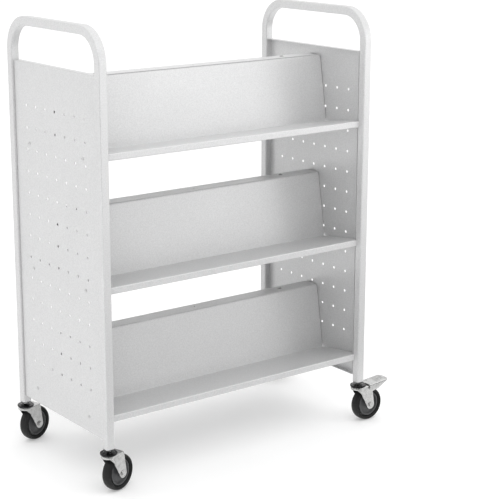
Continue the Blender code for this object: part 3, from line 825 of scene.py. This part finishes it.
# --- casters ------------------------------------
def caster_turn(name):
    """From a caster's own axes (x' along its trail, y' along its axle) to the frame's."""
    stem, wheel = middle(f"{name}_stem"), middle(f"{name}_tyre")
    angle = math.atan2(wheel.y - stem.y, wheel.x - stem.x)
    return Matrix.Translation((stem.x, stem.y, 0)) @ Matrix.Rotation(angle, 4, "Z")


def crown_columns():
    """Round the crown from the front of one cheek to the front of the other: (plan point, outward, foot).

    foot is the point (x', z) where the column ends, on the lower edge of the skirt or the cheek.
    """
    nose = arc((TRAIL, AXLE_Z), CHEEK_NOSE, -155, 0, 20)
    hem = [(CROWN_MIDDLE, CHEEK_SLANT - CROWN_MIDDLE), CHEEK_KNEE, *nose]
    side = []
    for k in range(CHEEK_COLUMNS):
        share = 1 - k / CHEEK_COLUMNS
        x = CROWN_MIDDLE + (CROWN_FRONT - CROWN_MIDDLE) * share
        side.append((Vector((x, -CHEEK_OUTER)), Vector((0, -1)), along(hem, share)))
    rear = []
    for point in arc((CROWN_MIDDLE, 0), CHEEK_OUTER, 270, 90, REAR_COLUMNS):
        out = (point - Vector((CROWN_MIDDLE, 0))).normalized()
        rear.append((point, out, Vector((point.x, min(SKIRT_LOW, CHEEK_SLANT - point.x)))))
    flip = Matrix(((1, 0), (0, -1)))
    other = [(flip @ point, flip @ out, foot) for point, out, foot in reversed(side)]
    return side + rear + other


def pressed_in(x, z):
    """How far the cheek's leading part is pressed in at a point."""
    ahead = 1 - eased(x, CREASE_X - CREASE_SOFT, CREASE_X + CREASE_SOFT)
    behind = eased(x, CROWN_MIDDLE, CROWN_MIDDLE + 7 * MM)
    below = 1 - eased(z, CROWN_TOP - 9 * MM, CROWN_TOP - CROWN_BEND)
    return JOGGLE * ahead * behind * below


def fork():
    """The pressed fork: a flat crown with a rounded edge, a rear skirt and two cheeks."""
    bm = bmesh.new()
    columns = []
    for point, out, foot in crown_columns():
        column = []
        for k in range(FOLD_STEPS + 1):
            angle = math.radians(90 * k / FOLD_STEPS)
            spot = point - out * CROWN_BEND * (1 - math.sin(angle))
            column.append(bm.verts.new((spot.x, spot.y, CROWN_TOP - CROWN_BEND * (1 - math.cos(angle)))))
        for k in range(1, CHEEK_ROWS + 1):
            share = k / CHEEK_ROWS
            z = CROWN_TOP - CROWN_BEND + (foot.y - CROWN_TOP + CROWN_BEND) * share
            x = point.x + (foot.x - point.x) * share
            y = point.y - math.copysign(pressed_in(x, z), point.y) if abs(out.x) < 1e-6 else point.y
            column.append(bm.verts.new((x, y, z)))
        columns.append(column)
    for first, second in zip(columns, columns[1:]):
        for k in range(len(first) - 1):
            bm.faces.new((first[k], second[k], second[k + 1], first[k + 1]))
    edge = CHEEK_OUTER - CROWN_BEND
    steps = 12
    front = [bm.verts.new((CROWN_FRONT, edge - 2 * edge * k / steps, CROWN_TOP)) for k in range(1, steps)]
    ring = [column[0] for column in columns] + front
    hole = [bm.verts.new((*(vert.co.xy.normalized() * CROWN_HOLE), CROWN_TOP)) for vert in ring]
    for k in range(len(ring)):
        j = (k + 1) % len(ring)
        bm.faces.new((ring[k], ring[j], hole[j], hole[k]))
    return thickened(bm, CHEEK_SHEET, Vector((0, 0, 1)))


def leg_plug():
    """The square plug in the foot of a leg, with its flange and the bore for the stem."""
    top = LEG_BOTTOM - GAP
    flange, body = TUBE / 2 - GAP, TUBE / 2 - TUBE_WALL - GAP
    soft = 0.5 * MM
    chamfer = 1 * MM
    levels = [
        (flange - soft, top - PLUG_FLANGE), (flange, top - PLUG_FLANGE + soft), (flange, top - GAP),
        (body, top), (body, top + PLUG_LENGTH - chamfer), (body - chamfer, top + PLUG_LENGTH),
    ]
    rings = [[Vector((a, b, z)) for a, b in tube_outline(half, TUBE_EDGE)] for half, z in levels]
    for z in (top + PLUG_LENGTH, top - PLUG_FLANGE):
        bore = [point.xy.normalized() * (STEM_RADIUS + GAP) for point in rings[0]]
        rings.append([Vector((spot.x, spot.y, z)) for spot in bore])
    return skin(rings, hoop=True)


def stem():
    """The caster's stem: a head under the crown, a chamfered hexagon and the shank up into the leg."""
    hex_low = CAP_TOP + GAP
    top = LEG_BOTTOM + PLUG_LENGTH - 6 * MM
    head, flats, face = 8 * MM, 9.5 * MM, 8.2 * MM
    chamfer = 0.7 * MM
    profile = [
        (7.2 * MM, HEAD_LOW), (head, HEAD_LOW + chamfer), (head, HEAD_TOP), (STEM_RADIUS, HEAD_TOP),
        (STEM_RADIUS, hex_low), (face, hex_low), (flats, hex_low + chamfer), (flats, HEX_TOP - chamfer),
        (face, HEX_TOP), (STEM_RADIUS, HEX_TOP), (STEM_RADIUS, top),
    ]
    return turned(profile, ROUND, hexagon=(6, 7))


def bearing_cap():
    """The dished cap over the ball race."""
    bore, low, high = STEM_RADIUS + GAP, CAP_LOW, CAP_TOP
    profile = [
        (bore, low), (22 * MM, low), (23.6 * MM, low + 0.4 * MM), (24 * MM, low + 1.2 * MM),
        (24 * MM, low + 3.4 * MM), (23.5 * MM, low + 4.4 * MM), (22.2 * MM, low + 5 * MM),
        (17 * MM, low + 4.6 * MM), (15.4 * MM, low + 5 * MM), (14.2 * MM, high - 0.4 * MM),
        (13 * MM, high), (bore, high),
    ]
    return turned(profile, 2 * ROUND, bored=True)


def axle():
    """The axle bolt: a flanged hexagon head, and the shank through to the nut."""
    face = CHEEK_OUTER + GAP
    far = face + 5 * MM
    profile = [
        (5.6 * MM, far), (6.8 * MM, far - 0.3 * MM), (7.2 * MM, far - 0.9 * MM), (7.2 * MM, face + 1.2 * MM),
        (8.6 * MM, face + 1.0 * MM), (8.9 * MM, face + 0.4 * MM), (8.6 * MM, face), (AXLE_RADIUS, face),
        (AXLE_RADIUS, 0.8 * MM - far), (AXLE_RADIUS - 0.8 * MM, -far),
    ]
    return turned(profile, ROUND, axis="Y", hexagon=(1, 2, 3))


def lock_nut():
    """The nut on the axle, with its rounded collar."""
    face = -CHEEK_OUTER - GAP
    bore = AXLE_RADIUS + 0.1 * MM
    profile = [
        (bore, face), (6.6 * MM, face), (7.2 * MM, face - 0.6 * MM), (7.2 * MM, face - 2.6 * MM),
        (6.4 * MM, face - 3.1 * MM), (5.8 * MM, face - 3.2 * MM), (5.4 * MM, face - 4 * MM),
        (bore, face - 4 * MM),
    ]
    return turned(profile, ROUND, axis="Y", bored=True, hexagon=(2, 3))


def wheel_ring(side):
    """A ring of the wheel from one side's (radius, half width) points, in millimetres."""
    profile = [(radius * MM, half * MM) for radius, half in side]
    profile += [(radius, -half) for radius, half in reversed(profile)]
    return turned(profile, WHEEL_STEPS, axis="Y", bored=True)


def wheel_centre():
    """The moulded hub: a boss on the axle, a dished web and a rim under the tyre."""
    bore = (AXLE_RADIUS + GAP) / MM
    boss = [(bore, 17.5), (9, 17.5), (9.6, 16.9), (10.6, 9.6), (12, 7.8)]
    web = [(14, 7), (28, 5), (30, 5.6)]
    rim = [(31.6, 9.4), (32.8, 10.8), (34, 11), (35.8, 11), (36.6, 10.4), (36.9, 5.5), (38, 5)]
    return wheel_ring(boss + web + rim)


def tyre():
    """The rubber tyre: a groove beside the hub, a raised sidewall ring and round shoulders."""
    groove = [(38.6, 5), (39.6, 5.5), (40, 9.8), (40.6, 10.6), (41.8, 11)]
    wall = [(42.8, 12.2), (43.8, 14.2), (44.6, 15), (46.4, 14.8)]
    tread = [(47.6, 13.6), (48.8, 11.8), (49.8, 9.2), (50.5, 6), (50.8, 2.6)]
    return wheel_ring(groove + wall + tread)


def tread_height(x):
    """Height of the pedal's plate, and how far a rib stands above it there."""
    plain = PEDAL_LOW + (PEDAL_HIGH - PEDAL_LOW) * (x - PEDAL_START) / (PEDAL_TIP - PEDAL_START)
    if not RIB_START < x < RIB_END:
        return plain, 0.0
    wave = 0.5 - 0.5 * math.cos(2 * math.pi * (x - RIB_START) / RIB_PITCH)
    return plain, RIB_HEIGHT * wave * wave


def pedal_half(x):
    """Half of the pedal's width, less round the corners of its tip."""
    past = x - (PEDAL_TIP - PEDAL_CORNER)
    if past <= 0:
        return PEDAL_HALF
    return PEDAL_HALF - PEDAL_CORNER + math.sqrt(max(PEDAL_CORNER ** 2 - past ** 2, 0.0))


def pedal_hem(x):
    """Lower edge of the pedal's side skirts."""
    for start, end in zip(PEDAL_HEM, PEDAL_HEM[1:]):
        if x <= end[0] * MM + 1e-9:
            share = (x / MM - start[0]) / (end[0] - start[0])
            return (start[1] + (end[1] - start[1]) * share) * MM
    return PEDAL_HEM[-1][1] * MM


def pedal():
    """The pressed pedal: a ribbed tread, two side skirts, and the shoe that bears on the tyre."""
    bm = bmesh.new()
    stations = []
    for k in range(PEDAL_STATIONS + 1):
        x = PEDAL_START + (PEDAL_TIP - PEDAL_START) * k / PEDAL_STATIONS
        plain, rib = tread_height(x)
        half, low = pedal_half(x), min(pedal_hem(x), plain - PEDAL_BEND - 0.4 * MM)
        section = [(-half, low + (plain - PEDAL_BEND - low) * j / 4) for j in range(4)]
        bend = arc((PEDAL_BEND - half, plain - PEDAL_BEND), PEDAL_BEND, 180, 90, 4)
        section += [tuple(spot) for spot in bend]
        flat = half - PEDAL_BEND
        for share in (-RIB_FOOT, -RIB_SHOULDER, -0.4):
            section.append((flat * share, plain + (rib if share > -RIB_FOOT else 0.0)))
        section += [(-y, z) for y, z in reversed(section)]
        stations.append([bm.verts.new((x, y, z)) for y, z in section])
    for first, second in zip(stations, stations[1:]):
        for k in range(len(first) - 1):
            bm.faces.new((first[k], second[k], second[k + 1], first[k + 1]))
    shell = thickened(bm, PEDAL_SHEET, Vector((0, 0, 1)))
    plate_low = tread_height(SHOE_X)[0] - PEDAL_SHEET + 0.4 * MM
    shoe_front = SHOE_X + SHOE_SHEET
    outline = [
        (SHOE_X - 4 * MM, SHOE_BOTTOM + 2 * MM), (SHOE_X, SHOE_BOTTOM), (shoe_front, SHOE_BOTTOM + 1 * MM),
        (shoe_front, plate_low), (SHOE_X, plate_low), (SHOE_X, SHOE_BOTTOM + 3.6 * MM),
        (SHOE_X - 3 * MM, SHOE_BOTTOM + 5 * MM),
    ]
    shoe = plate(outline, -SHOE_HALF, SHOE_HALF, SHOE_EDGE)
    return merged(shell, shoe)


def pivot_pin():
    """The pedal's pivot pin, riveted over at both ends."""
    reach = PEDAL_HALF + 0.2 * MM
    side = [(2.2 * MM, reach), (3.6 * MM, reach), (3.6 * MM, reach + 0.5 * MM), (3.0 * MM, reach + 1.0 * MM),
            (1.8 * MM, reach + 1.2 * MM)]
    profile = [(radius, -height) for radius, height in reversed(side)] + side
    return turned(profile, ROUND, axis="Y")


def make_caster(name):
    def add(piece, bm, look, body, node, place, sharp=32):
        add_piece(f"{name}_{piece}", bm, look, body, [f"{name}_{node}"], place, sharp)

    turn = caster_turn(name)
    swivel, wheel = f"{name}_caster", f"{name}_wheel"
    foot = Matrix.Translation(turn.translation)
    hub = turn @ Matrix.Translation((TRAIL, 0, AXLE_Z))
    add("foot_plug", leg_plug(), "plastic", "frame", "leg_plug", foot)
    add("hexagon_stem", stem(), "bright_zinc", "frame", "stem", foot)
    add("race_cap", bearing_cap(), "dark_steel", "frame", "bearing_cap", foot)
    add("pressed_fork", fork(), "satin_zinc", swivel, "fork", turn)
    add("axle", axle(), "satin_zinc", swivel, "axle_bolt", hub)
    add("lock_nut", lock_nut(), "satin_zinc", swivel, "axle_nut", hub)
    add("wheel_centre", wheel_centre(), "hub", wheel, "hub", hub)
    add("rubber_tyre", tyre(), "rubber", wheel, "tyre", hub, sharp=50)
    if name in BRAKED:
        pin = turn @ Matrix.Translation((PIN_X, 0, PIN_Z))
        add("foot_pedal", pedal(), "satin_zinc", f"{name}_pedal", "brake_pedal", turn)
        add("pivot_pin", pivot_pin(), "satin_zinc", swivel, "pedal_pin", pin)


# --- studio -------------------------------------
CAMERA_PLACE = (-2.381, -3.313, 1.611)
CAMERA_YAW = math.radians(36.57)
CAMERA_PITCH = math.radians(13.95)
CAMERA_ROLL = math.radians(-0.07)
CAMERA_LENS = 103.7
CAMERA_SHIFT = (0.05, -0.03)

FRONT_WALL = 0.06               # brightness of the walls behind the camera
BACK_WALL = 0.85                # of the backdrop
CEILING = 1.28                  # and of the ceiling
CEILING_Z = 0.85                # height, on a sphere of radius 1, where the walls have become the ceiling

FLOOR_HALF = 60.0
FLOOR_FLAT = 15.0               # beyond this the floor curves up into the backdrop
FLOOR_RISE = 9.0
FLOOR_GLOW = 0.23
FLOOR_CELLS = 60

FLAG_WIDTH = 2.4
FLAG_LOW = 0.005
FLAG_HIGH = 2.0
FLAG_DISTANCE = 2.9
FLOOR_FLAG = (-0.8, 2.2, -0.54, -2.6)   # left and right x, near and far y


def make_camera():
    data = bpy.data.cameras.new("camera")
    data.sensor_width = 36
    data.lens = CAMERA_LENS
    data.shift_x, data.shift_y = CAMERA_SHIFT
    camera = bpy.data.objects.new("camera", data)
    flat = math.cos(CAMERA_PITCH)
    forward = Vector((math.sin(CAMERA_YAW) * flat, math.cos(CAMERA_YAW) * flat, -math.sin(CAMERA_PITCH)))
    turn = forward.to_track_quat("-Z", "Y").to_matrix().to_4x4()
    camera.matrix_world = Matrix.Translation(CAMERA_PLACE) @ turn @ Matrix.Rotation(CAMERA_ROLL, 4, "Z")
    bpy.context.scene.collection.objects.link(camera)
    bpy.context.scene.camera = camera


def make_world():
    """A white ceiling and a pale backdrop behind the cart, with darker walls behind the camera."""
    world = bpy.data.worlds.new("studio")
    bpy.context.scene.world = world
    world.use_nodes = True
    tree = world.node_tree
    link = tree.links.new
    place = tree.nodes.new("ShaderNodeTexCoord").outputs["Generated"]
    split = tree.nodes.new("ShaderNodeSeparateXYZ")
    behind = tree.nodes.new("ShaderNodeVectorMath")
    behind.operation = "DOT_PRODUCT"
    behind.inputs[1].default_value = (math.sin(CAMERA_YAW), math.cos(CAMERA_YAW), 0)
    wall = tree.nodes.new("ShaderNodeMapRange")
    height = tree.nodes.new("ShaderNodeMapRange")
    for node, numbers in ((wall, (-0.3, 0.5, FRONT_WALL, BACK_WALL)), (height, (0.0, CEILING_Z, 0.0, 1.0))):
        set_range(node, numbers)
    shade = tree.nodes.new("ShaderNodeMix")
    shade.inputs["B"].default_value = CEILING
    link(place, split.inputs["Vector"])
    link(place, behind.inputs[0])
    link(behind.outputs["Value"], wall.inputs["Value"])
    link(split.outputs["Z"], height.inputs["Value"])
    link(height.outputs["Result"], shade.inputs["Factor"])
    link(wall.outputs["Result"], shade.inputs["A"])
    link(shade.outputs["Result"], tree.nodes["Background"].inputs["Color"])


def make_floor():
    n = Nodes("pale_floor")
    shade = n.blend(n.noise(3, 2.0), (0.80, 0.80, 0.80), (0.82, 0.82, 0.82))
    rough = n.remap(n.noise(2, 1.0), 0.3, 0.7, 0.75, 0.85)
    n.shader.inputs["Emission Color"].default_value = (1, 1, 1, 1)
    n.shader.inputs["Emission Strength"].default_value = FLOOR_GLOW
    n.shader.inputs["Specular IOR Level"].default_value = 0.1
    look = n.finish(shade, rough, n.bump(n.noise(40, 2.0), 0.02, 1 * MM))
    bm = bmesh.new()
    bmesh.ops.create_grid(bm, x_segments=FLOOR_CELLS, y_segments=FLOOR_CELLS, size=FLOOR_HALF)
    for vert in bm.verts:
        beyond = max(vert.co.xy.length - FLOOR_FLAT, 0.0) / (FLOOR_HALF - FLOOR_FLAT)
        vert.co.z = FLOOR_RISE * beyond ** 2
    mesh = bpy.data.meshes.new("floor")
    bm.to_mesh(mesh)
    bm.free()
    mesh.shade_smooth()
    mesh.materials.append(look)
    floor = bpy.data.objects.new("floor", mesh)
    bpy.context.scene.collection.objects.link(floor)


def add_soft_light(name, place, target, size, power):
    data = bpy.data.lights.new(name, "AREA")
    data.shape = "RECTANGLE"
    data.size, data.size_y = size
    data.energy = power
    light = bpy.data.objects.new(name, data)
    aim = (Vector(target) - Vector(place)).to_track_quat("-Z", "Y").to_matrix().to_4x4()
    light.matrix_world = Matrix.Translation(place) @ aim
    bpy.context.scene.collection.objects.link(light)


def add_flag(name, look, corners):
    """A black card that shows only in reflections."""
    bm = bmesh.new()
    bm.faces.new([bm.verts.new(corner) for corner in corners])
    mesh = bpy.data.meshes.new(name)
    bm.to_mesh(mesh)
    bm.free()
    mesh.materials.append(look)
    flag = bpy.data.objects.new(name, mesh)
    flag.visible_camera = False
    flag.visible_diffuse = False
    flag.visible_shadow = False
    bpy.context.scene.collection.objects.link(flag)


def make_flags():
    """One card stands before the camera and darkens rounded edges; one lies in front of the cart."""
    n = Nodes("black_card")
    shade = n.blend(n.noise(4, 2.0), (0.004, 0.004, 0.004), (0.006, 0.006, 0.006))
    rough = n.remap(n.noise(5, 1.0), 0.3, 0.7, 0.9, 1.0)
    look = n.finish(shade, rough, n.bump(n.noise(60, 2.0), 0.02, 1 * MM))
    half = FLAG_WIDTH / 2
    turn = Matrix.Rotation(-CAMERA_YAW, 4, "Z") @ Matrix.Translation((0, -FLAG_DISTANCE, 0))
    upright = [(-half, 0, FLAG_LOW), (half, 0, FLAG_LOW), (half, 0, FLAG_HIGH), (-half, 0, FLAG_HIGH)]
    add_flag("upright_flag", look, [turn @ Vector(corner) for corner in upright])
    left, right, near, far = FLOOR_FLAG
    flat = ((left, near), (right, near), (right, far), (left, far))
    add_flag("floor_flag", look, [(x, y, FLAG_LOW) for x, y in flat])


def make_lights():
    add_soft_light("front_right_softbox", (2.2, -2.4, 1.6), (0.4, 0, 0.7), (2.0, 1.8), 12)
    add_soft_light("overhead_softbox", (0, -2.2, 3.0), (0, 0, 0.6), (2.4, 1.6), 9)
    add_soft_light("front_left_softbox", (-2.1, -2.4, 2.2), (0.4, 0, 0.6), (1.4, 1.2), 11)


bpy.context.scene.view_settings.view_transform = "Standard"
make_camera()
make_world()
make_floor()
make_lights()
make_flags()
make_end_tubes()
make_end_panels()
make_shelves()
make_shelf_screws()
make_strip_screws()
for caster in CASTERS:
    make_caster(caster)
